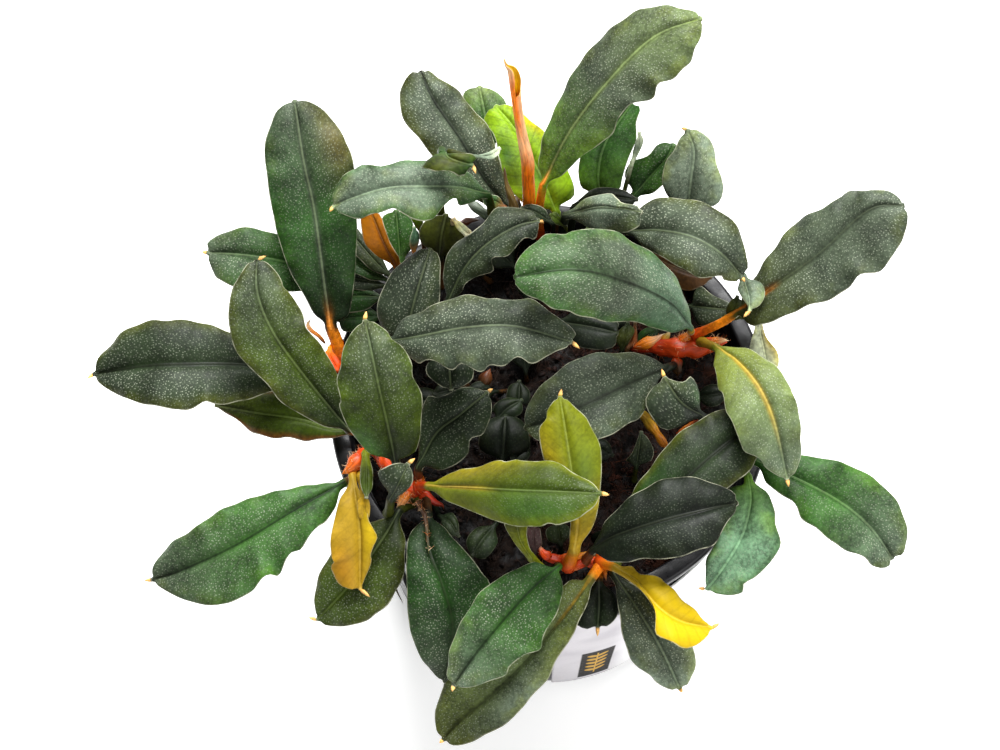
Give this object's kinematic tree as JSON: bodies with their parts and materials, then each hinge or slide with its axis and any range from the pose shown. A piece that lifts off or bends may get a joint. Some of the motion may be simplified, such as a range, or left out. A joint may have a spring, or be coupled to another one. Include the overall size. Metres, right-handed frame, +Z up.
{
  "type": "bucephalandra in a net pot",
  "caption": "Bucephalandra in a round black net pot: wavy dark green leaves on orange-red creeping stems over a growing medium, with a rolled young leaf standing above them.",
  "frame": {"origin": "centre of the pot's flat base, on the underside", "axes": "+Z up through the pot; -Y is the front, the side that the picture looks from; +X to the right as seen from the front"},
  "size_m": [0.1023, 0.0857, 0.0846],
  "materials": {
    "black_plastic": "gloss",
    "label_paper": "satin",
    "growing_medium": "matte",
    "red_stem": "satin",
    "orange_leaf": "satin",
    "dark_leaf": "satin",
    "grey_leaf": "satin",
    "green_leaf": "satin",
    "silver_leaf": "satin",
    "teal_leaf": "satin",
    "olive_leaf": "satin",
    "lime_leaf": "satin",
    "yellow_leaf": "satin",
    "ochre_leaf": "satin",
    "brown_leaf": "satin"
  },
  "bodies": {
    "root": {"pot": "black_plastic", "pot_label": "label_paper", "growing_medium": "growing_medium", "rhizome_left": "red_stem", "rhizome_front": "red_stem", "rhizome_right": "red_stem", "spear_leaf": "orange_leaf", "leaf_left_1": "dark_leaf", "leaf_left_2": "grey_leaf", "leaf_left_3": "green_leaf", "leaf_left_4": "grey_leaf", "leaf_left_5": "olive_leaf", "leaf_left_6": "green_leaf", "leaf_yellow_left": "ochre_leaf", "leaf_orange_left": "orange_leaf", "leaf_front_1": "dark_leaf", "leaf_front_2": "dark_leaf", "leaf_front_3": "green_leaf", "leaf_front_4": "olive_leaf", "leaf_front_5": "dark_leaf", "leaf_front_6": "grey_leaf", "leaf_yellow_front": "yellow_leaf", "leaf_teal_right": "teal_leaf", "leaf_right_1": "green_leaf", "leaf_right_2": "lime_leaf", "leaf_right_3": "olive_leaf", "leaf_right_4": "silver_leaf", "leaf_right_5": "silver_leaf", "leaf_right_6": "grey_leaf", "leaf_right_7": "olive_leaf", "leaf_right_8": "dark_leaf", "leaf_right_9": "brown_leaf", "leaf_top_right_1": "grey_leaf", "leaf_top_right_2": "silver_leaf", "leaf_top_right_3": "green_leaf", "leaf_top_right_4": "green_leaf", "leaf_top_1": "olive_leaf", "leaf_lime_top": "lime_leaf", "leaf_top_2": "grey_leaf", "leaf_top_3": "green_leaf", "leaf_top_4": "silver_leaf", "leaf_top_5": "olive_leaf", "leaf_middle_1": "dark_leaf", "leaf_middle_2": "grey_leaf", "leaf_middle_3": "teal_leaf", "leaf_middle_4": "dark_leaf", "leaf_middle_5": "green_leaf", "leaf_middle_6": "dark_leaf", "leaf_middle_7": "lime_leaf", "leaf_middle_8": "lime_leaf", "leaf_middle_9": "grey_leaf", "leaf_inner_1": "green_leaf", "leaf_inner_2": "dark_leaf", "leaf_inner_3": "dark_leaf", "leaf_inner_4": "dark_leaf", "leaf_inner_5": "grey_leaf", "leaf_inner_6": "dark_leaf", "leaf_inner_7": "olive_leaf", "leaf_inner_8": "green_leaf", "leaf_inner_9": "olive_leaf"}
  },
  "joints": []
}
